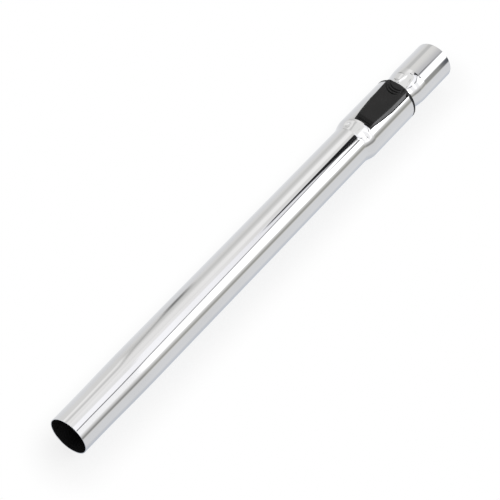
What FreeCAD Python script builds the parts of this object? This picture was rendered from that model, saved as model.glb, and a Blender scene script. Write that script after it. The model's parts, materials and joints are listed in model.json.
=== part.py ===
import FreeCAD
import Part
import Sketcher
import os

# Telescopic vacuum wand, collapsed and lying along X.
# X runs from the tool mouth to the hose end, Z points up through the release button,
# and the origin is the middle of the tool mouth. All sizes are in millimetres and degrees.

doc = FreeCAD.newDocument("wand")
sheet = doc.addObject("Spreadsheet::Sheet", "sizes")

VALUES = [
    # outer tube
    ("tool_od", 35.0), ("tool_land", 18.0), ("taper_end", 74.0), ("main_od", 36.5), ("wall", 0.6),
    ("swage_x", 372.8), ("swage_len", 13.8), ("lead_share", 0.3), ("ease_share", 0.15),
    ("housing_od", 41.6), ("housing_len", 54.8),
    # staking dimples on the swage; their depth is a share of the step
    ("dimple_r", 5.0), ("dimple_share", 0.45), ("dimple_angle", 30.0),
    # inner tube: room left for the sliding fit and for the lock, socket for the hose handle
    ("slide_room", 2.25), ("lock_room", 4.8), ("foot_gap", 4.0), ("neck_gap", 0.4), ("neck_len", 22.4),
    ("socket_play", 0.1), ("head_len", 37.0),
    ("channel_half", 4.2), ("channel_depth", 2.6), ("channel_over", 2.4), ("channel_runout", 16.0),
    ("channel_rise", 4.4),
    ("notch_half_x", 2.9), ("notch_half_y", 3.1), ("notch_depth", 1.3),
    # guide sleeve
    ("fit_gap", 0.05), ("run_gap", 0.35), ("stop_gap", 0.5), ("nose_len", 6.8),
    ("ring_t", 2.8), ("ring_edge", 0.5),
    ("slot_half", 4.6), ("key_half", 3.85), ("groove_len", 3.2), ("groove_deep", 2.05),
    ("pocket_deep", 3.6),
    # release button: stations from its ends, heights from the housing's radius
    ("btn_gap", 1.2), ("btn_end_gap", 0.8), ("kink_len", 29.2), ("btn_corner", 2.6),
    ("base_deep", 3.8), ("base_w0", 8.0), ("base_wk", 11.1), ("base_w1", 11.4), ("window_w0", 7.75),
    ("top_high", 2.2), ("top_w0", 7.5), ("top_wk", 9.7), ("top_w1", 10.3), ("top_inset", 0.3),
    ("bevel_x", 5.0), ("bevel_z", 2.2), ("skirt_deep", 0.3), ("lug_high", 0.1), ("crown_deep", 0.7),
    ("lug_before", 4.0), ("lug_after", 4.5), ("stem_half", 4.3), ("stem_deep", 3.9),
    ("rib_r", 8.15), ("rib_half", 0.5), ("rib_depth", 0.8), ("rib_set", 4.5), ("rib_pitch", 2.9),
    ("rib_sweep", 150.0),
    # pivot pin, lock tooth, return spring
    ("pin_set", 1.0), ("pin_deep", 2.5), ("pin_r", 0.9), ("pin_half", 6.0), ("pin_play", 0.1),
    ("boss_r", 1.9),
    ("tooth_set", 8.2), ("tooth_half_x", 2.0), ("tooth_half_y", 2.5), ("tooth_deep", 1.8),
    ("tooth_cut", 0.6),
    ("spring_set", 9.6), ("spring_r", 2.05), ("spring_wire", 0.25), ("spring_pitch", 1.7),
    ("seat_deep", 5.6), ("spring_deep", 0.85), ("seat_r", 2.65), ("spigot_r", 1.4),
    ("spigot_len", 1.0),
    # foot bush
    ("bush_len", 11.5),
]


class Size:
    """A length that carries its expression along with its value."""

    def __init__(self, text, value):
        self.text = text
        self.value = value

    def join(self, other, sign, value):
        return Size("(" + self.text + " " + sign + " " + other.text + ")", value)

    def __add__(self, other):
        other = size(other)
        return self.join(other, "+", self.value + other.value)

    def __radd__(self, other):
        return size(other) + self

    def __sub__(self, other):
        other = size(other)
        return self.join(other, "-", self.value - other.value)

    def __rsub__(self, other):
        return size(other) - self

    def __mul__(self, other):
        other = size(other)
        return self.join(other, "*", self.value * other.value)

    def __rmul__(self, other):
        return size(other) * self

    def __truediv__(self, other):
        other = size(other)
        return self.join(other, "/", self.value / other.value)

    def __neg__(self):
        return Size("(0 - " + self.text + ")", -self.value)


def size(number):
    if isinstance(number, Size):
        return number
    return Size(repr(float(number)), float(number))


def least(a, b):
    return Size("min(" + a.text + "; " + b.text + ")", min(a.value, b.value))


S = {}
for row, (alias, number) in enumerate(VALUES, start=1):
    sheet.set("A%d" % row, alias)
    sheet.set("B%d" % row, str(number))
    sheet.setAlias("B%d" % row, alias)
    S[alias] = Size("sizes." + alias, number)
doc.recompute()


def bind(obj, **links):
    """Ties properties to expressions; double underscores stand for dots."""
    for path, amount in links.items():
        obj.setExpression(path.replace("__", "."), size(amount).text)
    return obj


def box(name, x0, x1, y0, y1, z0, z1):
    obj = doc.addObject("Part::Box", name)
    return bind(obj, Length=size(x1) - x0, Width=size(y1) - y0, Height=size(z1) - z0,
                Placement__Base__x=x0, Placement__Base__y=y0, Placement__Base__z=z0)


def rod(name, x0, x1, radius):
    """Cylinder on the wand's axis between two stations."""
    obj = doc.addObject("Part::Cylinder", name)
    obj.Placement = FreeCAD.Placement(FreeCAD.Vector(), FreeCAD.Rotation(FreeCAD.Vector(0, 1, 0), 90))
    return bind(obj, Radius=radius, Height=size(x1) - x0, Placement__Base__x=x0)


def cross_rod(name, x, z, radius, half):
    """Cylinder across the wand, along Y."""
    obj = doc.addObject("Part::Cylinder", name)
    obj.Placement = FreeCAD.Placement(FreeCAD.Vector(), FreeCAD.Rotation(FreeCAD.Vector(1, 0, 0), -90))
    return bind(obj, Radius=radius, Height=size(half) * 2, Placement__Base__x=x,
                Placement__Base__y=-size(half), Placement__Base__z=z)


def post(name, x, z0, z1, radius):
    obj = doc.addObject("Part::Cylinder", name)
    return bind(obj, Radius=radius, Height=size(z1) - z0, Placement__Base__x=x, Placement__Base__z=z0)


def ball(name, x, y, z, radius):
    obj = doc.addObject("Part::Sphere", name)
    return bind(obj, Radius=radius, Placement__Base__x=x, Placement__Base__y=y, Placement__Base__z=z)


def fuse(name, *shapes):
    obj = doc.addObject("Part::MultiFuse", name)
    obj.Shapes = list(shapes)
    return obj


def common(name, *shapes):
    obj = doc.addObject("Part::MultiCommon", name)
    obj.Shapes = list(shapes)
    return obj


def cut(name, base, *tools):
    tool = tools[0]
    if len(tools) > 1:
        tool = fuse(name + "_tools", *tools)
    obj = doc.addObject("Part::Cut", name)
    obj.Base = base
    obj.Tool = tool
    return obj


def pin_point(sketch, geo, pos, u, v):
    """Holds one sketch point at two named coordinates."""
    for kind, amount in (("DistanceX", size(u)), ("DistanceY", size(v))):
        if amount.value < 0:
            index = sketch.addConstraint(Sketcher.Constraint(kind, geo, pos, -1, 1, -amount.value))
            amount = -amount
        else:
            index = sketch.addConstraint(Sketcher.Constraint(kind, -1, 1, geo, pos, amount.value))
        sketch.setExpression("Constraints[%d]" % index, amount.text)


def outline(name, corners, upright=True):
    """Closed sketch through (u, v) corners; upright ones stand in the XZ plane.

    A corner marked "out" starts an arc that leaves it along the u axis, and one marked "in"
    starts an arc that reaches the next corner along the u axis.
    """
    sketch = doc.addObject("Sketcher::SketchObject", name)
    if upright:
        sketch.Placement = FreeCAD.Placement(
            FreeCAD.Vector(), FreeCAD.Rotation(FreeCAD.Vector(1, 0, 0), 90))
    count = len(corners)
    for i, corner in enumerate(corners):
        after = corners[(i + 1) % count]
        a = FreeCAD.Vector(size(corner[0]).value, size(corner[1]).value, 0)
        b = FreeCAD.Vector(size(after[0]).value, size(after[1]).value, 0)
        if len(corner) == 2:
            geo = sketch.addGeometry(Part.LineSegment(a, b))
            pin_point(sketch, geo, 1, corner[0], corner[1])
            pin_point(sketch, geo, 2, after[0], after[1])
            continue
        flat, slope = (a, b) if corner[2] == "out" else (b, a)
        du = slope.x - flat.x
        dv = slope.y - flat.y
        radius = (du * du + dv * dv) / (2 * dv)
        middle = FreeCAD.Vector(flat.x, flat.y + radius, 0)
        lean = 0.5 * (FreeCAD.Vector(flat - middle).normalize() + FreeCAD.Vector(slope - middle).normalize())
        bulge = middle + lean.normalize() * abs(radius)
        arc = Part.Arc(a, bulge, b)
        geo = sketch.addGeometry(arc)
        first = 1 if sketch.getPoint(geo, 1).distanceToPoint(a) < 1e-6 else 2
        pin_point(sketch, geo, first, corner[0], corner[1])
        pin_point(sketch, geo, 3 - first, after[0], after[1])
        anchor = corner if corner[2] == "out" else after
        index = sketch.addConstraint(
            Sketcher.Constraint("DistanceX", -1, 1, geo, 3, size(anchor[0]).value))
        sketch.setExpression("Constraints[%d]" % index, size(anchor[0]).text)
    return sketch


def turned(name, corners):
    """Body of revolution about the wand's axis."""
    obj = doc.addObject("Part::Revolution", name)
    obj.Source = outline(name + "_profile", corners)
    obj.Axis = FreeCAD.Vector(1, 0, 0)
    obj.Base = FreeCAD.Vector(0, 0, 0)
    obj.Angle = 360.0
    obj.Solid = True
    return obj


def slab(name, corners, half):
    """Upright outline thickened to both sides of the XZ plane."""
    obj = doc.addObject("Part::Extrusion", name)
    obj.Base = outline(name + "_profile", corners)
    obj.DirMode = "Custom"
    obj.Dir = FreeCAD.Vector(0, 1, 0)
    obj.Solid = True
    return bind(obj, LengthFwd=half, LengthRev=half)


def plan(name, corners, z):
    sketch = outline(name, corners, upright=False)
    return bind(sketch, Placement__Base__z=z)


def prism(name, corners, z0, z1):
    """Flat outline raised from one height to another."""
    obj = doc.addObject("Part::Extrusion", name)
    obj.Base = plan(name + "_plan", corners, z0)
    obj.DirMode = "Custom"
    obj.Dir = FreeCAD.Vector(0, 0, 1)
    obj.Solid = True
    return bind(obj, LengthFwd=size(z1) - z0)


def button_plan(x0, x1, w0, wk, w1, grow=0.0, corner=None):
    """Button outline: flared sides that run almost straight past the kink, corners cut at the ring."""
    corner = S["btn_corner"] if corner is None else corner
    return [(x0 - grow, -(w0 + grow)), (btn_kink, -(wk + grow)),
            (x1 + grow - corner, -(w1 + grow)), (x1 + grow, -(w1 + grow - corner)),
            (x1 + grow, w1 + grow - corner), (x1 + grow - corner, w1 + grow),
            (btn_kink, wk + grow), (x0 - grow, w0 + grow)]


# Radii. The inner tube is as wide as the sliding fit and the lock both allow, and its head
# takes the same fitting as the tool end.
r_tool = S["tool_od"] / 2
r_main = S["main_od"] / 2
r_house = S["housing_od"] / 2
r_inner = least(r_main - S["slide_room"], r_house - S["lock_room"])
r_head = r_tool + S["socket_play"] + S["wall"]
floor = r_inner - S["channel_depth"]
low_z = r_house / 4
high_z = r_house * 1.5

# Stations along the wand, each from the one before it.
swage_mid = S["swage_x"] + S["swage_len"] / 2
swage_end = S["swage_x"] + S["swage_len"]
swage_lead = S["swage_len"] * S["lead_share"]
swage_ease = (r_house - r_main) * S["ease_share"]
housing_end = swage_end + S["housing_len"]
ring_end = housing_end + S["ring_t"]
neck_x = ring_end + S["neck_gap"]
neck_mid = neck_x + S["neck_len"] / 2
neck_end = neck_x + S["neck_len"]
head_end = neck_end + S["head_len"]
nose_x = S["swage_x"] - S["nose_len"]
foot_x = S["taper_end"] + S["foot_gap"]
bush_end = foot_x + S["bush_len"]
btn_x0 = swage_end + S["btn_gap"]
btn_x1 = housing_end - S["btn_end_gap"]
btn_kink = btn_x0 + S["kink_len"]
pin_x = btn_kink - S["pin_set"]
pin_z = r_house - S["pin_deep"]
lug_x0 = pin_x - S["lug_before"]
lug_x1 = pin_x + S["lug_after"]
spring_x = btn_x1 - S["spring_set"]

# The tube locks at both ends of its travel and at eleven even steps between them.
steps = 12
notch_x = btn_x0 + S["tooth_set"]
notch_pitch = (nose_x - S["stop_gap"] - bush_end) / steps

# Heights of the button and the lock below or above the housing's round.
top_z = r_house + S["top_high"]
base_z = r_house - S["base_deep"]
crown_r = r_house - S["crown_deep"]
lug_r = r_house + S["lug_high"]
pocket_floor = r_house - S["pocket_deep"]
spring_seat = r_house - S["seat_deep"]
tooth_top = r_house - S["tooth_deep"]
tooth_tip = floor - S["notch_depth"] + S["run_gap"]
key_floor = floor + S["run_gap"]
groove_x = swage_end + S["btn_gap"] * 0.75
groove_r = r_inner + S["groove_deep"]


def outer_line(less):
    """Outer tube's line from mouth to housing end, set in by an amount.

    The swage is eased in and out: a slight cone, the main cone and a slight cone again.
    """
    return [(size(0), r_tool - less), (S["tool_land"], r_tool - less), (S["taper_end"], r_main - less),
            (S["swage_x"], r_main - less), (S["swage_x"] + swage_lead, r_main + swage_ease - less),
            (swage_end - swage_lead, r_house - swage_ease - less),
            (swage_end, r_house - less), (housing_end, r_house - less)]


def back(line):
    """The same line run the other way, with its arcs' marks turned round."""
    swap = {"out": "in", "in": "out"}
    marks = [swap[p[2]] if len(p) == 3 else None for p in line]
    run = []
    for i in range(len(line) - 1, -1, -1):
        mark = marks[i - 1] if i > 0 else None
        point = (line[i][0], line[i][1])
        run.append(point + (mark,) if mark else point)
    return run


# Outer tube: one drawn steel tube with a tapered tool end and a swaged housing.
outer_wall = turned("outer_wall", outer_line(size(0)) + back(outer_line(S["wall"])))
outer_core = turned("outer_core", outer_line(size(0)) + [(housing_end, size(0)), (size(0), size(0))])

# Two staking dimples, pressed in on either side of the button's line.
dimple_depth = (r_house - r_main) * S["dimple_share"]
dimple_far = (r_main + r_house) / 2 + S["dimple_r"] - dimple_depth
dimple_y = Size("(" + dimple_far.text + " * sin(sizes.dimple_angle * 1 deg))", dimple_far.value * 0.5)
dimple_z = Size("(" + dimple_far.text + " * cos(sizes.dimple_angle * 1 deg))", dimple_far.value * 0.866)
dents = []
bumps = []
for side, y in (("left", dimple_y), ("right", -dimple_y)):
    dents.append(ball("dent_" + side, swage_mid, y, dimple_z, S["dimple_r"]))
    bumps.append(ball("bump_" + side, swage_mid, y, dimple_z, S["dimple_r"] + S["wall"]))
bump_metal = common("bump_metal", fuse("bump_pair", *bumps), outer_core)
window = prism("window", button_plan(btn_x0, housing_end + 1, S["window_w0"], S["base_wk"],
                                     S["base_w1"] + 0.1, S["run_gap"], size(0.2)), low_z, high_z)
outer_tube = cut("outer_tube", fuse("outer_blank", outer_wall, bump_metal), *dents, window)

# Guide sleeve: plastic liner of the housing with the black end ring, the keyway's key,
# the lever slot, the pocket under the button and the pin's lugs. The dimples hold it by
# the groove behind its nose.
sleeve_bore = r_inner + S["run_gap"]
less = S["wall"] + S["fit_gap"]
stake_x0 = S["swage_x"] + 1.7
stake_x1 = swage_end + 0.2
stake_r = (r_main + r_house) / 2 - dimple_depth - S["wall"] - S["run_gap"]
sleeve_turn = turned("sleeve_turn", [
    (nose_x, sleeve_bore), (nose_x, r_main - less), (stake_x0, r_main - less),
    (stake_x0, stake_r), (stake_x1, stake_r), (stake_x1, r_house - less),
    (housing_end, r_house - less), (housing_end, r_house),
    (ring_end - S["ring_edge"], r_house), (ring_end, r_house - S["ring_edge"]), (ring_end, sleeve_bore)])
key = box("key", btn_kink + 6, ring_end, -S["key_half"], S["key_half"], key_floor, pocket_floor - 0.3)
slot_x0 = btn_x0 + 3.7
slot = box("slot", slot_x0, btn_kink + 4.2, -S["slot_half"], S["slot_half"], low_z, high_z)
pocket_plan = prism("pocket_plan", button_plan(btn_x0, housing_end, S["base_w0"], S["base_wk"],
                                               S["base_w1"], S["run_gap"] + 0.05, size(0.2)),
                    low_z, high_z)
pocket_x = btn_kink + 2.8
pocket_span = box("pocket_span", pocket_x, housing_end, -r_house, r_house, low_z, high_z)
pocket_core = rod("pocket_core", pocket_x - 5, housing_end + 5, pocket_floor)
pocket = cut("pocket", common("pocket_room", pocket_plan, pocket_span), pocket_core)
seat = post("seat", spring_x, spring_seat, high_z, S["seat_r"])
seal_groove = rod("seal_groove", groove_x, groove_x + S["groove_len"], groove_r)
lug_hole = cross_rod("lug_hole", pin_x, pin_z, S["pin_r"] + S["fit_gap"] / 2, S["pin_half"] + 0.1)
guide_sleeve = cut("guide_sleeve", fuse("sleeve_blank", sleeve_turn, key),
                   slot, pocket, seat, seal_groove, lug_hole)

# Felt wiper in the sleeve's groove, with a tongue in the inner tube's channel.
seal_x0 = groove_x + S["fit_gap"]
seal_x1 = groove_x + S["groove_len"] - S["fit_gap"]
seal_r = groove_r - S["fit_gap"]
seal_turn = turned("seal_turn", [
    (seal_x0, r_inner + 0.3), (seal_x0, seal_r), (seal_x1, seal_r), (seal_x1, r_inner + 0.3)])
seal_tongue = box("seal_tongue", seal_x0, seal_x1, -S["key_half"], S["key_half"],
                  key_floor, r_inner + 1)
wiper_seal = fuse("wiper_seal", seal_turn, seal_tongue)

# Release button: drafted rocker with a front bevel and three thumb grooves; the stem below
# carries the pivot bore and the lock tooth.
button_cap = doc.addObject("Part::Loft", "button_cap")
button_cap.Sections = [
    plan("button_base", button_plan(btn_x0, btn_x1, S["base_w0"], S["base_wk"], S["base_w1"]),
         base_z),
    plan("button_top", button_plan(btn_x0 + S["top_inset"], btn_x1 - S["top_inset"], S["top_w0"],
                                   S["top_wk"], S["top_w1"]), top_z)]
button_cap.Solid = True
button_cap.Ruled = True
below = base_z - 5
beyond = btn_x1 + 10
front = btn_x0 - 5
bevel = slab("bevel", [
    (front, top_z - S["bevel_z"]), (btn_x0, top_z - S["bevel_z"]),
    (btn_x0 + S["bevel_x"], top_z), (btn_x0 + S["bevel_x"], top_z + 3),
    (front, top_z + 3)], r_house)
arch_front = rod("arch_front", front, lug_x0, r_house - S["skirt_deep"])
arch_lug = rod("arch_lug", lug_x0, lug_x1, lug_r)
arch_rear = rod("arch_rear", lug_x1, beyond, crown_r)
ribs = []
for i in range(3):
    x = btn_x1 - S["rib_set"] + S["rib_pitch"] * i
    sector = post("rib_sector_%d" % i, x, top_z - S["rib_depth"], top_z + 1,
                  S["rib_r"] + S["rib_half"])
    sector.Placement.Rotation = FreeCAD.Rotation(FreeCAD.Vector(0, 0, 1), 105)
    bind(sector, Angle=S["rib_sweep"])
    island = post("rib_island_%d" % i, x, top_z - 1, top_z + 2, S["rib_r"] - S["rib_half"])
    ribs.append(cut("rib_%d" % i, sector, island))
cap = cut("cap", button_cap, bevel, arch_front, arch_lug, arch_rear)
stem = box("stem", slot_x0 + 0.4, lug_x1, -S["stem_half"], S["stem_half"],
           r_house - S["stem_deep"], lug_r + 0.4)
boss = cross_rod("boss", pin_x, pin_z, S["boss_r"], S["stem_half"])
spigot = post("spigot", spring_x, crown_r - S["spigot_len"], crown_r + 0.6, S["spigot_r"])
bore = cross_rod("bore", pin_x, pin_z, S["pin_r"] + S["pin_play"], S["stem_half"] + 2)
tooth_room = box("tooth_room", notch_x - S["tooth_half_x"] - S["fit_gap"],
                 notch_x + S["tooth_half_x"] + S["fit_gap"], -S["tooth_half_y"] - S["fit_gap"],
                 S["tooth_half_y"] + S["fit_gap"], below, tooth_top + S["fit_gap"])
release_button = cut("release_button", fuse("button_blank", cap, stem, boss, spigot),
                     bore, tooth_room, *ribs)

# Lock tooth: steel pawl set in the stem, resting in a notch of the inner tube.
tooth_x0 = notch_x - S["tooth_half_x"]
tooth_x1 = notch_x + S["tooth_half_x"]
lock_tooth = slab("lock_tooth", [
    (tooth_x0, tooth_top), (tooth_x0, tooth_tip + S["tooth_cut"]),
    (tooth_x0 + S["tooth_cut"], tooth_tip), (tooth_x1 - S["tooth_cut"], tooth_tip),
    (tooth_x1, tooth_tip + S["tooth_cut"]), (tooth_x1, tooth_top)], S["tooth_half_y"])

pivot_pin = cross_rod("pivot_pin", pin_x, pin_z, S["pin_r"], S["pin_half"])

# Return spring under the ribbed end.
helix = doc.addObject("Part::Helix", "helix")
helix.LocalCoord = 0
bind(helix, Radius=S["spring_r"], Pitch=S["spring_pitch"],
     Height=S["seat_deep"] - S["spring_deep"] - S["spring_wire"] * 2 - 0.02,
     Placement__Base__x=spring_x, Placement__Base__z=spring_seat + S["spring_wire"] + 0.01)
wire = doc.addObject("Part::RegularPolygon", "wire")
wire.Polygon = 5
wire.Placement = FreeCAD.Placement(FreeCAD.Vector(), FreeCAD.Rotation(FreeCAD.Vector(1, 0, 0), 90))
bind(wire, Circumradius=S["spring_wire"], Placement__Base__x=spring_x + S["spring_r"],
     Placement__Base__z=spring_seat + S["spring_wire"] + 0.01)
return_spring = doc.addObject("Part::Sweep", "return_spring")
return_spring.Sections = [wire]
return_spring.Spine = (helix, ["Edge1"])
return_spring.Solid = True
return_spring.Frenet = True


def inner_line(less):
    """Inner tube's line from foot to head end, set in by an amount."""
    middle = (r_inner + r_head) / 2
    return [(foot_x, r_inner - less), (neck_x, r_inner - less, "out"),
            (neck_mid, middle - less, "in"), (neck_end, r_head - less), (head_end, r_head - less)]


# Inner tube: expanded head for the hose handle, pressed keyway with locking notches.
inner_wall = turned("inner_wall", inner_line(size(0)) + back(inner_line(S["wall"])))
inner_core = turned("inner_core", inner_line(size(0)) + [(head_end, size(0)), (foot_x, size(0))])
channel_end = neck_x + S["channel_over"]
run_x = channel_end + S["channel_runout"]
rise = floor + S["channel_rise"]
trough = slab("trough", [
    (foot_x, floor - S["wall"]), (channel_end, floor - S["wall"]), (run_x, rise - S["wall"]),
    (run_x, high_z), (foot_x, high_z)], S["channel_half"] + S["wall"])
channel_cut = slab("channel_cut", [
    (foot_x - 2, floor), (channel_end, floor), (run_x, rise), (run_x, high_z),
    (foot_x - 2, high_z)], S["channel_half"])
channel_bar = box("channel_bar", foot_x - 2, run_x - S["channel_half"], -S["channel_half"],
                  S["channel_half"], low_z, high_z)
channel_nose = post("channel_nose", run_x - S["channel_half"], low_z, high_z, S["channel_half"])
channel = common("channel", channel_cut, fuse("channel_plan", channel_bar, channel_nose))
cups = []
pits = []
for i in range(steps + 1):
    x = notch_x - notch_pitch * i
    hx = S["notch_half_x"]
    hy = S["notch_half_y"]
    low = floor - S["notch_depth"]
    cups.append(box("cup_%02d" % i, x - hx - S["wall"], x + hx + S["wall"], -hy - S["wall"], hy + S["wall"],
                    low - S["wall"], floor))
    pits.append(box("pit_%02d" % i, x - hx, x + hx, -hy, hy, low, floor + 1))
metal = fuse("inner_blank", inner_wall, common("trough_metal", trough, inner_core), *cups)
inner_tube = cut("inner_tube", metal, channel, *pits)

# Foot bush: plastic guide ring on the inner tube's foot, with a tongue that fills the channel.
bush_r = r_main - S["wall"] - S["run_gap"]
fit = S["fit_gap"]
bush_turn = turned("bush_turn", [
    (foot_x, r_inner + fit), (foot_x, bush_r), (bush_end, bush_r), (bush_end, r_inner + fit)])
bush_tongue = box("bush_tongue", foot_x, bush_end, -S["channel_half"] + fit, S["channel_half"] - fit,
                  floor + fit, r_inner + 0.5)
foot_bush = fuse("foot_bush", bush_turn, bush_tongue)

NODES = [outer_tube, guide_sleeve, wiper_seal, pivot_pin, return_spring, release_button, lock_tooth,
         inner_tube, foot_bush]
for node in NODES:
    node.Label = node.Name
doc.recompute()

for obj in doc.Objects:
    if "Invalid" in obj.State or "Error" in obj.State:
        raise RuntimeError("%s did not build: %s" % (obj.Name, obj.State))
os.makedirs("parts", exist_ok=True)
for node in NODES:
    shape = node.Shape
    if shape.isNull() or not shape.isValid() or len(shape.Solids) != 1:
        raise RuntimeError("%s has a bad shape: %d solids" % (node.Label, len(shape.Solids)))
    shape.exportStep("parts/" + node.Label + ".step")
    low = shape.BoundBox
    print("%-15s X %.2f..%.2f Y %.2f..%.2f Z %.2f..%.2f volume %.0f" % (
        node.Label, low.XMin, low.XMax, low.YMin, low.YMax, low.ZMin, low.ZMax, shape.Volume))
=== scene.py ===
import json

import bmesh
import bpy
import numpy as np
from mathutils import Matrix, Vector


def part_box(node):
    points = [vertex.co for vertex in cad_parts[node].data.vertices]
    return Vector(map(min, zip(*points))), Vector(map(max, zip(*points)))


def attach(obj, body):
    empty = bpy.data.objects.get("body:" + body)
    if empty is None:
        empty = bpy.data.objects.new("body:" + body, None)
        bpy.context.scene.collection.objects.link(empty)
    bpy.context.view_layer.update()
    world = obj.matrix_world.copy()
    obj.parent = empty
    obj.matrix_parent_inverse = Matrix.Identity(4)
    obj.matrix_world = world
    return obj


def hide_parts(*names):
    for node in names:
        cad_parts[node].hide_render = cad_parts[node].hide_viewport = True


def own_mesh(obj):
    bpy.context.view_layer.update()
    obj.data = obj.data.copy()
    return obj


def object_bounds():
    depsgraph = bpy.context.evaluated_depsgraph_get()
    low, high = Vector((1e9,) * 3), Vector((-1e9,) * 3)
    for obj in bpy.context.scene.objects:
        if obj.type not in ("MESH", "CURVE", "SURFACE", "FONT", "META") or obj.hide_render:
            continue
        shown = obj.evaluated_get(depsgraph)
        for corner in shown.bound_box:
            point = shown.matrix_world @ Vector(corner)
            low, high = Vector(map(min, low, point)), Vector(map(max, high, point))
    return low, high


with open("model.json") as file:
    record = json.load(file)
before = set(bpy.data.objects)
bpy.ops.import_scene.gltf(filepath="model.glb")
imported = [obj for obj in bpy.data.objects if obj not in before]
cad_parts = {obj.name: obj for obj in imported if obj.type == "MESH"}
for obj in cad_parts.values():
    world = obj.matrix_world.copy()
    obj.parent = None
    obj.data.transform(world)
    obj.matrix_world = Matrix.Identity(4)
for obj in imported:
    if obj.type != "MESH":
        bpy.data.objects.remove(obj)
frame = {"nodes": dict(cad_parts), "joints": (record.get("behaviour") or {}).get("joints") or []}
cad_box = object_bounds()

# Outer tube: thin steel, drawn to size, narrowed at the tool end and swaged wider at the other to house
# the lock. The window is punched, two dimples are pressed in to hold the sleeve, and it is chromed last.
MM = 0.001
WALL, RIM_ROUND, RIM_STEPS = 0.6, 0.16, 5
TOOL_R, MAIN_R, HOUSING_R = 17.5, 18.25, 20.8
TAPER_START, TAPER_END, TAPER_BEND = 14.0, 86.0, 32.0
SWAGE_START, SWAGE_END, SWAGE_BEND = 372.8, 386.6, 5.5


def box_mm(node):
    """The lowest and the highest corner of a CAD node, in millimetres to the micrometre."""
    return np.round(np.array(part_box(node)) / MM, 3)


HOUSING_END = box_mm("outer_tube")[1, 0]
WINDOW_X = np.array([387.05, 400.0, 417.0, HOUSING_END])
WINDOW_HALF = np.array([8.5, 10.45, 11.95, 12.0])
DIMPLE_X, DIMPLE_TURN, DIMPLE_SKIRT = 379.7, np.radians(30.0), np.radians(46.0)
DIMPLE_LONG, DIMPLE_WIDE, DIMPLE_DEEP = 1.9, 2.6, 0.8


def ramp(value, low, high):
    """0 below low, 1 above high, and the S-curve 3t^2 - 2t^3 between them."""
    t = np.clip((value - low) / (high - low), 0.0, 1.0)
    return t * t * (3.0 - 2.0 * t)


def spread(*runs):
    """One rising list from (end, count) runs: each run goes evenly from the last end to its own. The first
    run is only the start, and its count isn't used."""
    ends = [run[0] for run in runs]
    pieces = [np.linspace(a, b, n, endpoint=False) for a, (b, n) in zip(ends, runs[1:])]
    return np.concatenate(pieces + [np.array([ends[-1]])])


def mirrored(half):
    """Angles from -pi up to pi without the repeat at pi, from a list that goes from 0 to pi."""
    return np.concatenate([-half[:0:-1], half[:-1]])


def around(along, radius, turn):
    """Points of a turned form: x along the axis, and a radius at an angle from the top towards -Y."""
    return np.stack([along, -radius * np.sin(turn), radius * np.cos(turn)], axis=-1)


def closed_grid(rows, columns):
    """Quads of a grid that closes on itself both ways; vertex (i, j) is number i * columns + j."""
    i, j = np.meshgrid(np.arange(rows), np.arange(columns), indexing="ij")
    up, right = (i + 1) % rows, (j + 1) % columns
    corners = [i * columns + j, i * columns + right, up * columns + right, up * columns + j]
    return np.stack(corners, axis=-1).reshape(-1, 4)


def put_piece(name, points, faces, finishes, finish_of_face=None):
    """Makes one smooth mesh object at the origin from points in millimetres and faces."""
    mesh = bpy.data.meshes.new(name)
    mesh.from_pydata((points.reshape(-1, 3) * MM).tolist(), [], faces.tolist())
    for finish in finishes:
        mesh.materials.append(finish)
    if finish_of_face is not None:
        mesh.polygons.foreach_set("material_index", finish_of_face.astype(np.int32))
    mesh.polygons.foreach_set("use_smooth", np.ones(len(mesh.polygons), bool))
    mesh.validate()
    made = bpy.data.objects.new(name, mesh)
    bpy.context.scene.collection.objects.link(made)
    return made


class Wire:
    """A value in a shader: a node tree and the socket that gives it. + - * / add Math nodes."""

    def __init__(self, tree, socket=None):
        self.tree = tree
        self.socket = socket

    def node(self, kind, settings=None, sockets=None, out=0):
        """Adds a node of this type: its settings first, then each socket's value or wire."""
        made = self.tree.nodes.new(kind)
        for name, value in (settings or {}).items():
            setattr(made, name, value)
        for name, value in (sockets or {}).items():
            if isinstance(value, Wire):
                self.tree.links.new(value.socket, made.inputs[name])
            else:
                made.inputs[name].default_value = value
        return Wire(self.tree, made.outputs[out] if made.outputs else None)

    def math(self, operation, first, second):
        """A Math node's operation on two values or wires."""
        return self.node("ShaderNodeMath", {"operation": operation}, {0: first, 1: second})

    def __add__(self, other):
        return self.math("ADD", self, other)

    def __radd__(self, other):
        return self.math("ADD", other, self)

    def __sub__(self, other):
        return self.math("SUBTRACT", self, other)

    def __rsub__(self, other):
        return self.math("SUBTRACT", other, self)

    def __mul__(self, other):
        return self.math("MULTIPLY", self, other)

    def __rmul__(self, other):
        return self.math("MULTIPLY", other, self)

    def __truediv__(self, other):
        return self.math("DIVIDE", self, other)

    def __rtruediv__(self, other):
        return self.math("DIVIDE", other, self)

    def step(self, low, high):
        """The S-curve from 0 at low to 1 at high."""
        settings = {"interpolation_type": "SMOOTHSTEP"}
        return self.node("ShaderNodeMapRange", settings, {0: self, 1: low, 2: high})

    def mix(self, first, second):
        """The first colour where this is 0, the second where it is 1."""
        return self.node("ShaderNodeMix", {"data_type": "RGBA"}, {0: self, 6: first, 7: second}, out=2)


def rgb(red, green, blue):
    """A colour as its sockets take it, with full alpha."""
    return (red, green, blue, 1.0)


def new_finish(name):
    """An empty material, and a wire into its tree."""
    finish = bpy.data.materials.new(name)
    finish.use_nodes = True
    finish.node_tree.nodes.clear()
    return finish, Wire(finish.node_tree)


def grain(tree, scale, stretch=(1.0, 1.0, 1.0), detail=3.0, roughness=0.5):
    """Noise of a number of grains to the metre, drawn out along an axis by a small stretch there."""
    place = tree.node("ShaderNodeTexCoord", out=3)
    place = tree.node("ShaderNodeMapping", None, {"Vector": place, "Scale": stretch})
    sockets = {"Vector": place, "Scale": scale, "Detail": detail, "Roughness": roughness}
    return tree.node("ShaderNodeTexNoise", None, sockets)


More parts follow.
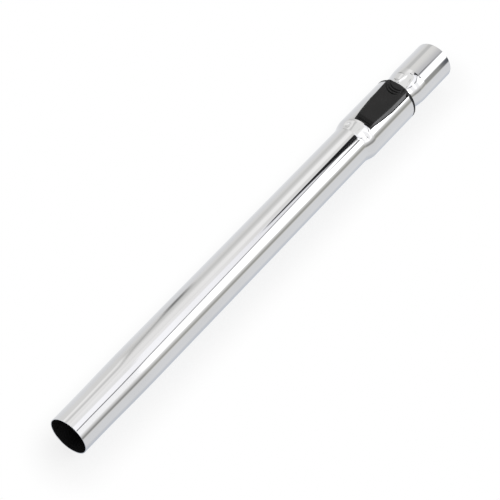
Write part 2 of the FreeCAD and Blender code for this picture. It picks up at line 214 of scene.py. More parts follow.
def bumped(tree, height, strength, depth):
    """The surface's normal, tilted by the slope of a height map of a depth in metres."""
    sockets = {"Strength": strength, "Distance": depth, "Height": height}
    return tree.node("ShaderNodeBump", None, sockets)


def surface_of(tree, **sockets):
    """The piece's shader and its output; every constant stands on the shader's own socket."""
    named = {name.replace("_", " "): value for name, value in sockets.items()}
    shader = tree.node("ShaderNodeBsdfPrincipled", None, named)
    tree.node("ShaderNodeOutputMaterial", None, {"Surface": shader})


def chrome(name, bright, dull, draw_marks):
    """Bright chrome: a clear mirror with faint drawing lines along the tube, hazy patches and specks."""
    finish, tree = new_finish(name)
    haze = grain(tree, 22.0, detail=4.0).step(0.35, 0.75)
    lines = grain(tree, 900.0, (0.012, 1.0, 1.0), detail=2.0)
    specks = grain(tree, 2600.0, detail=1.0).step(0.70, 0.80)
    surface_of(tree, Base_Color=(haze * 0.6 + specks * 0.4).mix(bright, dull),
               Roughness=0.035 + haze * 0.03 + specks * 0.03, Metallic=1.0,
               Normal=bumped(tree, lines, draw_marks, 0.00002))
    return finish


def bore_painted_near_black(name):
    """The unplated inside of a tube: streaked steel, its colour painted near black as shade deep in it."""
    finish, tree = new_finish(name)
    streaks = grain(tree, 300.0, (0.03, 1.0, 1.0), detail=4.0)
    colour = streaks.mix(rgb(0.004, 0.004, 0.004), rgb(0.014, 0.014, 0.015))
    surface_of(tree, Base_Color=colour, Roughness=0.5 + streaks * 0.2, Specular_IOR_Level=0.15)
    return finish


def widened(along, start, end, bend, gain):
    """A rise of gain from start to end: a bend of even curvature, a straight cone and the bend back."""
    cone = gain / (end - start - bend)
    first = cone / (2.0 * bend) * np.clip(along - start, 0.0, bend) ** 2
    middle = cone * np.clip(along - start - bend, 0.0, None)
    last = cone / (2.0 * bend) * np.clip(along - end + bend, 0.0, bend) ** 2
    past = cone * np.clip(along - end, 0.0, None)
    return first + middle - last - past


def outer_radius(along):
    """Outside of the tube by station: the tool end, a slow taper to the main tube and the swage."""
    taper = widened(along, TAPER_START, TAPER_END, TAPER_BEND, MAIN_R - TOOL_R)
    swage = widened(along, SWAGE_START, SWAGE_END, SWAGE_BEND, HOUSING_R - MAIN_R)
    return TOOL_R + taper + swage


def dimpled(along, radius, turn):
    """Less two soft pressed dents: each the bell curve exp(-u^2 - v^2) of the distance from its middle,
    u along the tube and v around it, in shares of its half length and half width."""
    for side in (-1.0, 1.0):
        u = (along - DIMPLE_X) / DIMPLE_LONG
        v = (turn - side * DIMPLE_TURN) * HOUSING_R / DIMPLE_WIDE
        radius = radius - DIMPLE_DEEP * np.exp(-u ** 2 - v ** 2)
    return radius


def tube_wall(along, outside, turn):
    """Points of a closed wall, and which quads face its bore, from stations and outside radii by angle. Its
    rows follow the outside, two quarter rounds over the last edge, the inside a wall's thickness below,
    and two quarter rounds over the first edge."""
    bend = np.linspace(0.0, np.pi / 2, RIM_STEPS)
    reach = RIM_ROUND * np.concatenate([np.sin(bend), np.cos(bend)])[:, None]
    drop = RIM_ROUND * np.concatenate([1 - np.cos(bend), WALL / RIM_ROUND - 1 + np.sin(bend)])[:, None]
    last_x, first_x = along[-1] + reach, along[0] - reach
    stations = np.concatenate([along[:-1], last_x, along[-2:0:-1], first_x[:0:-1]])
    radii = np.concatenate([outside[:-1], outside[-1] - drop, outside[-2:0:-1] - WALL,
                            (outside[0] - drop)[:0:-1]])
    past_rim = np.arange(len(stations)) - (len(along) + len(reach) - 3)
    bore_row = (past_rim >= 0) & (past_rim < len(along))
    return around(stations, radii, turn), np.repeat(bore_row, len(turn))


def outer_tube_points():
    """The wall by station and angle. Past the swage the stations run, by an S-curve, to an end that depends
    on the angle: the window's edge where the window is, and the housing's end elsewhere."""
    edge = np.arcsin(WINDOW_HALF / HOUSING_R)
    turn = mirrored(spread((0.0, 0), (edge[0], 24), (edge[-1], 44), (DIMPLE_SKIRT, 18), (np.pi, 66)))
    across = HOUSING_R * np.sin(np.minimum(np.abs(turn), np.pi / 2))
    end = np.interp(across, WINDOW_HALF, WINDOW_X) - RIM_ROUND
    fixed = spread((RIM_ROUND, 0), (1.0, 3), (TAPER_START, 4), (TAPER_END, 30), (SWAGE_START - 7.8, 22),
                   (SWAGE_START, 8), (SWAGE_END, 46))
    share = ramp(np.linspace(0.0, 1.0, 16), 0.0, 1.0)[1:, None]
    along = np.concatenate([fixed[:, None] + 0.0 * turn, SWAGE_END + share * (end - SWAGE_END)])
    return tube_wall(along, dimpled(along, outer_radius(along), turn), turn)


outer_chrome = chrome("outer_chrome", rgb(0.645, 0.645, 0.652), rgb(0.61, 0.609, 0.613), draw_marks=0.05)
# the bore finish, used inside both tubes, is painted near black as painted shade deep in the tube
bore_painted_shade = bore_painted_near_black("bore_painted_shade")
points, in_bore = outer_tube_points()
outer_tube = put_piece("outer_tube_skin", points, closed_grid(*points.shape[:2]),
                       [outer_chrome, bore_painted_shade], in_bore)
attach(outer_tube, "outer")
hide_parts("outer_tube")

# Guide sleeve: one black plastic moulding pushed into the housing from its end, where its flange stays
# outside as a glossy ring. The tube's dimples hold it, and the button and wiper sit in its pockets.
SLEEVE_CREASE = np.radians(32.0)
MERGE_M = 0.000005


def gloss_black(name):
    """Black moulded plastic with a polished face: fine flow marks, a little dust and soft scuffs."""
    finish, tree = new_finish(name)
    scuff = grain(tree, 140.0, detail=5.0).step(0.45, 0.75)
    fine = grain(tree, 3000.0, detail=2.0)
    surface_of(tree, Base_Color=scuff.mix(rgb(0.006, 0.006, 0.007), rgb(0.014, 0.014, 0.015)),
               Roughness=0.24 + scuff * 0.12, Specular_IOR_Level=0.3,
               Normal=bumped(tree, fine, 0.05, 0.00003))
    return finish


def merged_copy(node, name, finish, crease):
    """A copy of a CAD node's triangles, merged, shaded smooth except over edges sharper than an angle."""
    mesh = frame["nodes"][node].data.copy()
    mesh.name = name
    work = bmesh.new()
    work.from_mesh(mesh)
    bmesh.ops.remove_doubles(work, verts=work.verts, dist=MERGE_M)
    work.to_mesh(mesh)
    work.free()
    mesh.materials.clear()
    mesh.materials.append(finish)
    mesh.polygons.foreach_set("material_index", np.zeros(len(mesh.polygons), np.int32))
    mesh.polygons.foreach_set("use_smooth", np.ones(len(mesh.polygons), bool))
    mesh.set_sharp_from_angle(angle=crease)
    made = bpy.data.objects.new(name, mesh)
    bpy.context.scene.collection.objects.link(made)
    return made


sleeve = merged_copy("guide_sleeve", "guide_sleeve_moulding", gloss_black("sleeve_black"), SLEEVE_CREASE)
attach(sleeve, "outer")
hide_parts("guide_sleeve")

# Wiper: a ring of pressed grey felt, laid in the sleeve's groove. It stops dust and leaking air at the
# sliding tube.
felt, tree = new_finish("wiper_felt")
fibres = grain(tree, 2500.0, (1.0, 1.0, 0.25), detail=6.0, roughness=0.7)
surface_of(tree, Base_Color=fibres.mix(rgb(0.24, 0.23, 0.21), rgb(0.40, 0.39, 0.37)),
           Roughness=0.85 + fibres * 0.1, Normal=bumped(tree, fibres, 0.6, 0.0002))


def dress(node, finish):
    """Gives a CAD node that stays as it is one finish all over."""
    finishes = frame["nodes"][node].data.materials
    finishes.clear()
    finishes.append(finish)


dress("wiper_seal", felt)

# Lock steel: a drawn pivot pin pressed into the sleeve's lugs, a hardened tooth moulded into the button's
# stem, and a coiled wire spring that stands in a pocket under the button's ribbed end.
SPRING_X, SPRING_FOOT, SPRING_KEEP = 431.0, 15.2, 0.63
SPRING_CREASE = np.radians(80.0)


def bright_steel(name):
    """Drawn steel: fine lines along the draw, a grey mirror dulled by oil."""
    finish, tree = new_finish(name)
    lines = grain(tree, 4000.0, (0.15, 0.05, 0.15), detail=3.0)
    oil = grain(tree, 500.0, detail=3.0).step(0.4, 0.7)
    surface_of(tree, Base_Color=oil.mix(rgb(0.56, 0.56, 0.57), rgb(0.46, 0.45, 0.44)),
               Roughness=0.22 + lines * 0.15, Metallic=1.0, Normal=bumped(tree, lines, 0.15, 0.00002))
    return finish


lock_steel = bright_steel("lock_steel")
for node in ("pivot_pin", "lock_tooth"):
    dress(node, lock_steel)
coil = merged_copy("return_spring", "return_spring_coil", lock_steel, SPRING_CREASE)
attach(coil, "outer")
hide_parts("return_spring")
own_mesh(coil)

# Release button: a black satin plastic rocker with sloped walls, moulded with its stem. It snaps over the
# pivot pin, and three curved finger grooves at the ring end show where to press.
BUTTON_X0, BUTTON_X1, GRIP_X = 387.35, 440.6, 424.0
BUTTON_TOP, BUTTON_BASE, TOP_RISE = 22.8, 17.0, 0.038
SIDE_X = np.array([BUTTON_X0, 400.0, 417.0, BUTTON_X1])
BASE_HALF = np.array([8.15, 10.1, 11.4, 11.45])
TOP_HALF = np.array([7.3, 8.55, 9.9, 10.6])
END_DRAFT, END_CORNER, NOSE_CORNER = 0.3, 3.6, 0.8
EDGE_ROUND, EDGE_SHARE = 0.8, 0.6
UNDER_X = np.array([BUTTON_X0, 414.0, 417.0, 420.0, 421.5, BUTTON_X1])
UNDER_R = np.array([20.45, 20.45, 20.65, 20.65, 20.25, 20.25])
BEVEL_X, BEVEL_Z, BEVEL_SOFT = 392.3, 20.8, 0.1
GROOVE_CENTRES, GROOVE_R, GROOVE_SPAN = (436.1, 439.0, 441.9), 8.15, np.radians(75.0)
GROOVE_BED, GROOVE_LIP, GROOVE_DEEP, GROOVE_RUNOUT = 0.248, 0.775, 1.1, 0.5
STEM_X, STEM_Z, STEM_HALF = (391.9, 420.5), (16.9, 21.3), 4.3
PIN_AT = next(joint["pos_m"] for joint in frame["joints"] if joint["name"] == "button_press")
PIN_X, PIN_Z = PIN_AT[0] / MM, PIN_AT[2] / MM
PIN_BORE, BOSS_R = 1.0, 1.9
SPIGOT_R, SPIGOT_Z = 1.4, (19.1, 20.7)
UNDER_RINGS, WALL_RINGS, EDGE_RINGS, TOP_RINGS = 24, 9, 7, 110
UNDER_REACH, TOP_SETTLE = 0.98, 0.03
POLE_MERGE_M = 0.000001
STEM_CREASE = np.radians(40.0)


def moulded_black(name, dark, pale, rough, shine):
    """Black plastic with a fine spark-eroded face, polished a little where thumbs rub it."""
    finish, tree = new_finish(name)
    sparks = grain(tree, 2400.0, detail=3.0, roughness=0.6)
    rub = grain(tree, 90.0, detail=3.0).step(0.4, 0.7)
    surface_of(tree, Base_Color=(sparks * 0.5 + rub * 0.5).mix(dark, pale),
               Roughness=rough + sparks * 0.12 - rub * 0.06, Specular_IOR_Level=shine,
               Normal=bumped(tree, sparks, 0.25, 0.00006))
    return finish


def button_outline(rise, inset):
    """Plan outline, once round from the nose's middle, for a wall height share (0 base, 1 top) and an
    inset: straight nose, small corner, side in three straight runs, round corner, straight end."""
    nose = BUTTON_X0 + END_DRAFT * rise + inset
    tail = BUTTON_X1 - END_DRAFT * rise - inset

    def half(x):
        """Half width by station: the base's and the top's, mixed by the height share."""
        base, top = np.interp(x, SIDE_X, BASE_HALF), np.interp(x, SIDE_X, TOP_HALF)
        return base + (top - base) * rise - inset

    quarter = np.linspace(0.0, np.pi / 2, 9)
    nose_half, tail_half = half(nose), half(tail)
    front_y = np.linspace(0.0, nose_half - NOSE_CORNER, 14, endpoint=False)
    first_x = nose + NOSE_CORNER * (1 - np.cos(quarter))
    first_y = half(first_x) - NOSE_CORNER * (1 - np.sin(quarter))
    side_x = np.concatenate([np.linspace(nose + NOSE_CORNER, GRIP_X, 60)[1:],
                             np.linspace(GRIP_X, tail - END_CORNER, 70)[1:-1]])
    last_x = tail - END_CORNER * (1 - np.sin(quarter))
    last_y = tail_half - END_CORNER * (1 - np.cos(quarter))
    back_y = np.linspace(tail_half - END_CORNER, 0.0, 40)[1:]
    x = np.concatenate([0 * front_y + nose, first_x, side_x, last_x, 0 * back_y + tail])
    y = np.concatenate([front_y, first_y, half(side_x), last_y, back_y])
    return np.concatenate([x, x[-2:0:-1]]), np.concatenate([-y, y[-2:0:-1]])


def button_height(x, y):
    """The top face: a plane that rises a little towards the ring, bevelled at the nose, less the three
    grooves cut on arcs about the end."""
    bevel = BEVEL_Z + (x - BUTTON_X0) * (BUTTON_TOP - BEVEL_Z) / (BEVEL_X - BUTTON_X0)
    plane = BUTTON_TOP + TOP_RISE * (x - BEVEL_X)
    over = plane - bevel
    height = plane - 0.5 * (over + np.sqrt(over ** 2 + BEVEL_SOFT ** 2))
    for centre in GROOVE_CENTRES:
        away = np.abs(np.hypot(x - centre, y) - GROOVE_R)
        facing = ramp(centre - x - GROOVE_R * np.cos(GROOVE_SPAN), -GROOVE_RUNOUT, GROOVE_RUNOUT)
        height = height - GROOVE_DEEP * facing * (1 - ramp(away, GROOVE_BED, GROOVE_LIP))
    return height


def button_points():
    """Rings from the middle of the underside out along its arch, up the sloped wall, over the rounded
    edge and in across the top to the middle again: one closed skin with a pole below and one above."""
    def arch(x, y):
        """The underside: a circle about the wand's axis, with a radius by station."""
        return np.sqrt(np.interp(x, UNDER_X, UNDER_R) ** 2 - y ** 2)

    base_x, base_y = button_outline(0.0, 0.0)
    middle = 0.5 * (BUTTON_X0 + BUTTON_X1)
    under = np.linspace(0.0, UNDER_REACH, UNDER_RINGS)[:, None]
    under_x, under_y = middle + (base_x - middle) * under, base_y * under
    rings = [np.stack([under_x, under_y, arch(under_x, under_y)], axis=-1)]
    foot = arch(base_x, base_y)
    brow = button_height(base_x, base_y)
    edge = np.minimum(EDGE_ROUND, EDGE_SHARE * (brow - foot))
    crest = brow - edge

    def wall_ring(height, inset):
        """The outline at a height, which may change along it: the base's and the top's, mixed."""
        rise = (height - BUTTON_BASE) / (BUTTON_TOP - BUTTON_BASE)
        low, high = np.array(button_outline(0.0, inset)), np.array(button_outline(1.0, inset))
        x, y = low + (high - low) * rise
        return np.stack([x, y, height], axis=-1)[None]

    for share in np.linspace(0.0, 1.0, WALL_RINGS):
        rings.append(wall_ring(foot + (crest - foot) * share, 0.0))
    for bend in np.linspace(0.0, np.pi / 2, EDGE_RINGS)[1:]:
        rings.append(wall_ring(crest + edge * np.sin(bend), EDGE_ROUND * (1 - np.cos(bend))))
    top = rings[-1][0]
    share = np.linspace(1.0, 0.0, TOP_RINGS)[1:, None]
    x, y = middle + (top[:, 0] - middle) * share, top[:, 1] * share
    settle = np.clip((1.0 - share) / TOP_SETTLE, 0.0, 1.0)
    level = top[:, 2] + (button_height(x, y) - top[:, 2]) * settle
    rings.append(np.stack([x, y, level], axis=-1))
    return np.concatenate(rings)


def open_grid(rows, columns):
    """Quads of a grid of rings: each ring closes on itself, the rows don't."""
    return closed_grid(rows, columns)[:(rows - 1) * columns]


def closed_skin(name, points, finishes, finish_of_ring):
    """A grid of rings whose first and last ring shrink to a point: the poles are merged shut."""
    rows, columns = points.shape[:2]
    made = put_piece(name, points, open_grid(rows, columns), finishes, np.repeat(finish_of_ring, columns))
    work = bmesh.new()
    work.from_mesh(made.data)
    bmesh.ops.remove_doubles(work, verts=work.verts, dist=POLE_MERGE_M)
    bmesh.ops.recalc_face_normals(work, faces=work.faces)
    work.to_mesh(made.data)
    work.free()
    return made


def stem_points():
    """A washer about the pin whose outer edge is the stem's outline, a block with the pin's boss below it:
    for each point of that outline, the loop bore, face, edge, far face and bore again."""
    run = np.linspace(STEM_X[0], STEM_X[1], 120)
    rest = np.linspace(STEM_Z[0], STEM_Z[1], 12)[1:-1]
    boss = np.sqrt(np.maximum(BOSS_R ** 2 - (run - PIN_X) ** 2, 0.0))
    low = np.minimum(STEM_Z[0], PIN_Z - boss)
    x = np.concatenate([run, 0 * rest + STEM_X[1], run[::-1], 0 * rest + STEM_X[0]])
    z = np.concatenate([low, rest, 0 * run + STEM_Z[1], rest[::-1]])
    far = np.hypot(x - PIN_X, z - PIN_Z)
    bore_x, bore_z = PIN_X + PIN_BORE * (x - PIN_X) / far, PIN_Z + PIN_BORE * (z - PIN_Z) / far
    side = 0 * x + STEM_HALF
    loop = [(bore_x, -side, bore_z), (x, -side, z), (x, side, z), (bore_x, side, bore_z)]
    return np.stack([np.stack(corner, axis=-1) for corner in loop], axis=1)


def spigot_points():
    """A short post for the spring: rings from the middle of its foot, out, up and in again."""
    turn = np.linspace(0.0, 2 * np.pi, 32, endpoint=False)
    radius = SPIGOT_R * np.array([0.0, 1.0, 1.0, 0.0])[:, None]
    height = np.array(SPIGOT_Z)[[0, 0, 1, 1]][:, None] + 0 * turn
    return np.stack([SPRING_X + radius * np.cos(turn), radius * np.sin(turn), height], axis=-1)


# one black moulding in two copies: the walls' colour is painted lighter than the top's, as painted light on
# the sloped walls
button_top = moulded_black("button_top", rgb(0.003, 0.0028, 0.003), rgb(0.008, 0.0075, 0.008),
                           rough=0.34, shine=0.28)
button_wall_painted_lit = moulded_black("button_wall_painted_lit", rgb(0.022, 0.021, 0.023), rgb(0.036, 0.034, 0.037),
                            rough=0.16, shine=1.0)
points = button_points()
ring = np.arange(len(points) - 1)
on_wall = (ring >= UNDER_RINGS) & (ring < UNDER_RINGS + WALL_RINGS - 1)
button = closed_skin("release_button_cap", points, [button_top, button_wall_painted_lit], on_wall)
points = stem_points()
stem = put_piece("release_button_stem", points, closed_grid(*points.shape[:2]), [button_top])
points = spigot_points()
spigot = closed_skin("release_button_spigot", points, [button_top], np.zeros(len(points) - 1, bool))
for flat_sided in (stem, spigot):
    flat_sided.data.set_sharp_from_angle(angle=STEM_CREASE)
for moulding in (button, stem, spigot):
    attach(moulding, "button")
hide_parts("release_button")

# Inner tube: thinner chromed steel with a keyway rolled in along its top, thirteen lock notches punched in
# the keyway's floor, and the end opened out over a short neck into the socket for the hose.
INNER_R, HEAD_R = 16.0, 18.2
INNER_X0, HEAD_X1 = box_mm("inner_tube")[:, 0]
NECK_X0, NECK_X1 = 444.6, 467.0
KEYWAY_HALF, KEYWAY_FLOOR, KEYWAY_TURNS = 4.2, 13.4, np.radians([11.5, 18.5])
RUNOUT_X0, RUNOUT_X1, RUNOUT_Z, NOSE_X = 447.0, 463.0, 17.8, 458.8
KEYWAY_WALL, RUNOUT_WALL = (1.10, 1.21), (0.28, 1.20)
TRAVEL = next(joint["range_m"][1] for joint in frame["joints"] if joint["name"] == "inner_slide") / MM
NOTCH_COUNT = 13
NOTCH_X, NOTCH_PITCH = box_mm("lock_tooth")[:, 0].mean(), TRAVEL / (NOTCH_COUNT - 1)
NOTCH_HALF_X, NOTCH_HALF_Y, NOTCH_DEEP = 2.9, 3.1, 1.3
NOTCH_IN, NOTCH_OUT = 0.2, 0.25
NO_WIDTH, TOP_SIDE = 0.001, 0.5


def inner_radius(along, turn):
    """Round tube and two-arc neck, less the keyway: a flat floor between rolled walls, steep along the tube
    and soft in the neck, that rises to nothing in a rounded nose; and less the notches in that floor."""
    share = np.clip((along - NECK_X0) / (NECK_X1 - NECK_X0), 0.0, 1.0)
    neck = np.where(share < 0.5, 2 * share ** 2, 1 - 2 * (1 - share) ** 2)
    radius = INNER_R + (HEAD_R - INNER_R) * neck
    climb = np.maximum((along - RUNOUT_X0) / (RUNOUT_X1 - RUNOUT_X0), 0.0)
    floor = KEYWAY_FLOOR + (RUNOUT_Z - KEYWAY_FLOOR) * climb
    half = np.sqrt(np.maximum(KEYWAY_HALF ** 2 - np.maximum(along - NOSE_X, 0.0) ** 2, 0.0))
    half = np.maximum(half * (along < RUNOUT_X1), NO_WIDTH)
    across = np.abs(radius * np.sin(turn)) / half
    soft = ramp(along, RUNOUT_X0, NOSE_X)
    wall_foot, wall_head = (a + (b - a) * soft for a, b in zip(KEYWAY_WALL, RUNOUT_WALL))
    inside = (1.0 - ramp(across, wall_foot, wall_head)) * (np.cos(turn) > TOP_SIDE)
    step = (along - NOTCH_X) / NOTCH_PITCH
    off = np.abs(step - np.clip(np.round(step), 1 - NOTCH_COUNT, 0)) * NOTCH_PITCH
    aside = np.abs(KEYWAY_FLOOR * np.tan(np.clip(turn, -0.6, 0.6)))
    notch = 1.0 - ramp(off, NOTCH_HALF_X - NOTCH_IN, NOTCH_HALF_X + NOTCH_OUT)
    notch = notch * (1.0 - ramp(aside, NOTCH_HALF_Y - NOTCH_IN, NOTCH_HALF_Y + NOTCH_OUT))
    bed = (floor - NOTCH_DEEP * notch) / np.maximum(np.cos(turn), TOP_SIDE)
    return radius - inside * np.maximum(radius - bed, 0.0)


def inner_tube_points():
    """The wall by station and angle, with stations close together at the notches' ends, the neck and the
    keyway's nose, and angles close together at the keyway's walls."""
    turn = mirrored(spread((0.0, 0), (KEYWAY_TURNS[0], 9), (KEYWAY_TURNS[1], 24), (np.pi, 64)))
    places = NOTCH_X - NOTCH_PITCH * np.arange(NOTCH_COUNT)[::-1]
    edge = NOTCH_HALF_X + np.array([-0.8, -NOTCH_IN, 0.05, NOTCH_OUT, 0.8])
    notches = places[:, None] + np.concatenate([-edge[::-1], edge])
    foot = spread((INNER_X0 + RIM_ROUND, 0), (INNER_X0 + 1.5, 2), (places[0] - 10.0, 6))
    head = spread((NOTCH_X + 8.0, 0), (NECK_X0 - 0.6, 8), (NOSE_X - 1.8, 26), (RUNOUT_X1 + 1.0, 24),
                  (NECK_X1 + 0.5, 6), (HEAD_X1 - 1.5, 8), (HEAD_X1 - RIM_ROUND, 2))
    along = np.concatenate([foot, notches.ravel(), head])[:, None] + 0.0 * turn
    return tube_wall(along, inner_radius(along, turn), turn)


inner_chrome = chrome("inner_chrome", rgb(0.645, 0.645, 0.652), rgb(0.605, 0.604, 0.607), draw_marks=0.08)
points, in_bore = inner_tube_points()
inner_tube = put_piece("inner_tube_skin", points, closed_grid(*points.shape[:2]),
                       [inner_chrome, bore_painted_shade], in_bore)
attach(inner_tube, "inner")
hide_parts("inner_tube")

# Foot bush: a split ring of white low-friction plastic, snapped round the inner tube's foot. It guides the
# tube in the outer one and stops it at full length.
bush_white, tree = new_finish("bush_white")
mottle = grain(tree, 700.0, detail=4.0)
surface_of(tree, Base_Color=mottle.mix(rgb(0.74, 0.74, 0.71), rgb(0.83, 0.83, 0.81)),
           Roughness=0.42 + mottle * 0.15, Normal=bumped(tree, mottle, 0.15, 0.00005))
dress("foot_bush", bush_white)

# Floor: a white paper sweep under the wand. It slopes a little, so that the wand rests on it with a level
# axis, at the end of the taper and at the start of the housing.
FLOOR_HALF = 3000.0
REST_X, REST_Z, FLOOR_FALL = 74.0, -18.27, 0.00816
PAPER_GLOW, SHADOW_LEAN = 0.78, 0.006
SHADE_NEAR, SHADE_FAR, MIRROR_FAR = 0.014, 0.045, 0.046
HALF_LONG = (cad_box[1][0] - cad_box[0][0]) / 2
paper, tree = new_finish("paper")
fleck = grain(tree, 800.0, detail=4.0)
paper_colour = fleck.mix(rgb(0.80, 0.80, 0.805), rgb(0.82, 0.82, 0.82))
lit_paper = tree.node("ShaderNodeBsdfDiffuse", None, {"Color": paper_colour})
white_paper = tree.node("ShaderNodeEmission", None, {"Color": rgb(1.0, 1.0, 1.0), "Strength": 1.0})
place = tree.node("ShaderNodeTexCoord", out=3)
along_floor = tree.node("ShaderNodeSeparateXYZ", None, {0: place}, out=0)
across_floor = tree.node("ShaderNodeSeparateXYZ", None, {0: place}, out=1)
# seen directly, the paper is white far from the wand; beside it and past its ends the lit paper shows
# through, so the render's shadow lies in a band of painted shade, greyer paper that leans towards -Y
beyond = tree.math("ABSOLUTE", along_floor - HALF_LONG, 0.0) - HALF_LONG
beyond = tree.math("MAXIMUM", beyond, 0.0)
leaning = across_floor + SHADOW_LEAN
away = tree.math("POWER", leaning * leaning + beyond * beyond, 0.5)
seen = tree.node("ShaderNodeLightPath", out=0)
glow = PAPER_GLOW + away.step(SHADE_NEAR, SHADE_FAR) * (1.0 - PAPER_GLOW)
paper_shader = tree.node("ShaderNodeMixShader", None, {0: seen * glow, 1: lit_paper, 2: white_paper})
# in the chrome, the paper is white with a painted cool shade under the wand, in place of the render's
# shadow
beside = tree.math("ABSOLUTE", across_floor, 0.0)
mirror_painted_shade = beside.step(SHADE_NEAR, MIRROR_FAR).mix(rgb(0.64, 0.68, 0.75), rgb(0.975, 0.985, 1.0))
mirror_paper = tree.node("ShaderNodeEmission", None, {"Color": mirror_painted_shade, "Strength": 1.0})
in_mirror = tree.node("ShaderNodeLightPath", out=3) + tree.node("ShaderNodeLightPath", out=6)
paper_shader = tree.node("ShaderNodeMixShader", None, {0: in_mirror, 1: paper_shader, 2: mirror_paper})
tree.node("ShaderNodeOutputMaterial", None, {"Surface": paper_shader})
floor_x, floor_y = np.meshgrid([-FLOOR_HALF, FLOOR_HALF], [-FLOOR_HALF, FLOOR_HALF])
floor_points = np.stack([floor_x, floor_y, REST_Z - FLOOR_FALL * (floor_x - REST_X)], axis=-1)
floor = put_piece("paper_floor", floor_points, np.array([[0, 1, 3, 2]]), [paper])

# Light: a tent of white cloth round the wand, told by direction: an angle about the wand's axis in degrees
# (0 overhead, positive towards -Y) and the share along that axis. A large soft lamp hangs on the right, a
# grey gap is left between lamp and paper, and black cards draw the dark lines in the chrome.
world = bpy.data.worlds.new("light_tent")
bpy.context.scene.world = world
world.use_nodes = True
world.node_tree.nodes.clear()
tent = Wire(world.node_tree)
direction = tent.node("ShaderNodeTexCoord", out=0)
ahead, side, up = (tent.node("ShaderNodeSeparateXYZ", None, {0: direction}, out=axis) for axis in range(3))
angle = tent.math("ARCTAN2", 0.0 - side, up) * np.degrees(1.0)


def band(value, low, high, soft):
    """1 between low and high, 0 outside, each edge an S-curve as wide as soft."""
    return value.step(low - soft / 2, low + soft / 2) * (1.0 - value.step(high - soft / 2, high + soft / 2))


def lit(light, mask, red, green, blue):
    """The light with another colour where the mask is 1."""
    return mask.mix(light, rgb(red, green, blue))


past_mouth = ahead.step(0.413, 0.437)
far_part = ahead.step(0.455, 0.55)
near_head = ahead.step(0.595, 0.61)
light = rgb(0.985, 0.98, 0.965)
# a fold in the left cloth, then the ceiling's two halves with a grey seam between them
left_fold = band(angle, -76.0, -58.0, 20.0) * past_mouth
light = lit(light, left_fold, 0.83, 0.83, 0.81)
left_ceiling = far_part.mix(rgb(1.19, 1.18, 1.165), rgb(1.31, 1.30, 1.28))
light = band(angle, -47.0, -22.0, 16.0).mix(light, left_ceiling)
ceiling_seam = band(angle, -22.0, -8.0, 8.0)
light = lit(light, ceiling_seam * far_part, 1.02, 1.01, 0.99)
light = lit(light, ceiling_seam * (1.0 - far_part), 1.24, 1.23, 1.22)
right_ceiling = far_part.mix(rgb(1.44, 1.44, 1.475), rgb(1.17, 1.17, 1.21))
light = band(angle, -8.0, 40.0, 8.0).mix(light, right_ceiling)
mouth_seam = band(angle, -10.0, 3.0, 5.0) * (1.0 - past_mouth)
light = lit(light, mouth_seam, 1.17, 1.17, 1.16)
# the soft lamp, with its tube in the far half, and the thin shadow of its curved frame
bow = ahead - 0.395
frame_line = angle - 29.5 + bow * 43.6 + bow * bow * 385.0
lamp = frame_line.step(0.5, 4.0) * (1.0 - angle.step(55.0, 66.0))
lamp_cloth = past_mouth.mix(rgb(1.38, 1.38, 1.39), rgb(1.85, 1.85, 1.85))
light = lamp.mix(light, lamp_cloth)
lamp_tube = lamp * band(ahead, 0.46, 0.60, 0.05) * band(angle, 36.0, 54.0, 10.0)
light = lit(light, lamp_tube, 6.0, 6.0, 6.0)
frame_shade = past_mouth.mix(rgb(0.22, 0.22, 0.23), rgb(0.44, 0.44, 0.45))
light = (band(frame_line, -2.5, 2.0, 3.0) * (1.0 - near_head)).mix(light, frame_shade)
# the light straight above, which the swage and the neck turn towards
overhead = angle.step(0.0, 10.0).mix(rgb(1.16, 1.16, 1.14), rgb(1.75, 1.75, 1.75))
light = (band(ahead, 0.02, 0.31, 0.06) * band(angle, -84.0, 60.0, 10.0)).mix(light, overhead)
# the gap between lamp and paper
gap_start = angle - 60.0 - (1.0 - far_part) * 2.5
gap = (gap_start / 18.5).step(0.0, 1.0) * (1.0 - angle.step(80.0, 89.0))
light = gap.mix(light, past_mouth.mix(rgb(0.37, 0.37, 0.36), rgb(0.48, 0.48, 0.445)))
# the dark room behind the camera
room = (1.0 - ahead.step(-0.18, -0.06)) * band(angle, -45.0, 25.0, 14.0)
light = lit(light, room, 0.08, 0.08, 0.08)
# a black card pointed towards the mouth, and a small one beside it
card = (ahead - 0.525) / 0.05
card_left = (angle + 5.2 + card * 5.0).step(-1.6, 1.6)
card_right = (1.2 + card * 2.2 + card * card * card * 15.5 - angle).step(-2.6, 2.6)
card_ends = band(ahead, 0.522, 0.597, 0.008)
light = lit(light, card_left * card_right * card_ends, 0.02, 0.02, 0.022)
small_card = band(angle, 27.0, 34.5, 4.0) * ahead.step(0.548, 0.578) * (1.0 - near_head)
light = lit(light, small_card, 0.05, 0.05, 0.05)
# a hanging corner of the left cloth, with a bright hem and a dark tip
corner = 0.471 - ahead
corner_edge = angle + 78.0 - tent.math("MINIMUM", corner * 600.0, 37.0)
drape = band(corner_edge, -5.0, 4.5, 9.0) * corner.step(-0.004, 0.002)
light = lit(light, drape * (1.0 - corner.step(0.03, 0.06) * 0.4), 0.62, 0.62, 0.61)
hem = band(corner_edge, -20.0, -9.0, 7.0) * corner.step(0.042, 0.056)
light = lit(light, hem, 1.24, 1.23, 1.21)
tip = band(angle, -86.0, -70.0, 14.0) * band(corner, -0.006, 0.010, 0.012)
light = lit(light, tip, 0.25, 0.25, 0.25)
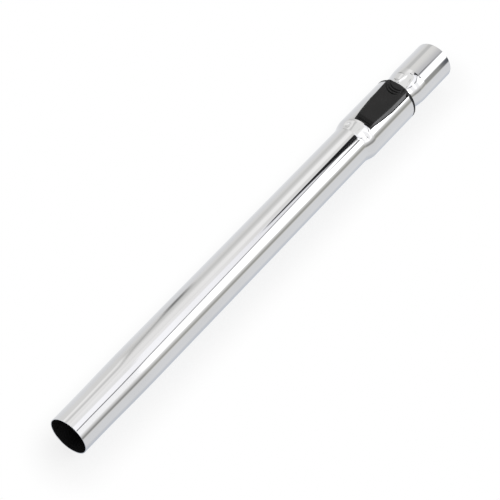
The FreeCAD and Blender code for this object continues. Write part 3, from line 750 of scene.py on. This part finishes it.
# beyond the lamp's end the ceiling falls off to a dark seam, and the gap is deeper
fall = ((angle + 34.0) / 50.0).step(0.0, 1.0)
dim_ceiling = fall.mix(rgb(1.03, 1.02, 0.99), rgb(0.72, 0.72, 0.735))
light = (near_head * band(angle, -52.0, 21.5, 6.0)).mix(light, dim_ceiling)
dark_seam = ahead.step(0.6165, 0.6255).mix(rgb(0.24, 0.24, 0.26), rgb(0.56, 0.56, 0.57))
light = (near_head * band(angle, 11.5, 17.0, 4.0)).mix(light, dark_seam)
dim_cloth = near_head * band(angle, -71.0, -51.0, 12.0)
light = lit(light, dim_cloth, 0.76, 0.76, 0.745)
deep_gap = ahead.step(0.6215, 0.6262).mix(rgb(0.43, 0.43, 0.41), rgb(0.10, 0.11, 0.135))
light = (ahead.step(0.606, 0.616) * band(angle, 59.0, 86.5, 12.0)).mix(light, deep_gap)
background = tent.node("ShaderNodeBackground", None, {"Color": light, "Strength": 1.0})
tent.node("ShaderNodeOutputWorld", None, {"Surface": background})

# Camera: above the tool end and a little to one side, with a long lens. Its place, in millimetres, and its
# axes are those from which the mouth, the ring and the head look as they do in the picture.
CAMERA_AT = (-564.5, -414.9, 1277.0)
CAMERA_RIGHT = (0.59959, -0.79187, 0.11589)
CAMERA_DOWN = (-0.61744, -0.54984, -0.56254)
CAMERA_FORWARD = (0.50918, 0.26574, -0.81861)
FOCAL_PIXELS, FRAME_PIXELS, SENSOR_WIDTH = 1899.0, 500.0, 36.0
lens = bpy.data.cameras.new("camera")
lens.sensor_width = SENSOR_WIDTH
lens.lens = SENSOR_WIDTH * FOCAL_PIXELS / FRAME_PIXELS
lens.clip_start, lens.clip_end = 0.01, 50.0
camera = bpy.data.objects.new("camera", lens)
bpy.context.scene.collection.objects.link(camera)
camera_up, camera_back = [-c for c in CAMERA_DOWN], [-c for c in CAMERA_FORWARD]
turned = Matrix((CAMERA_RIGHT, camera_up, camera_back)).transposed().to_4x4()
turned.translation = [c * MM for c in CAMERA_AT]
camera.matrix_world = turned
bpy.context.scene.camera = camera
bpy.context.scene.view_settings.view_transform = "Standard"
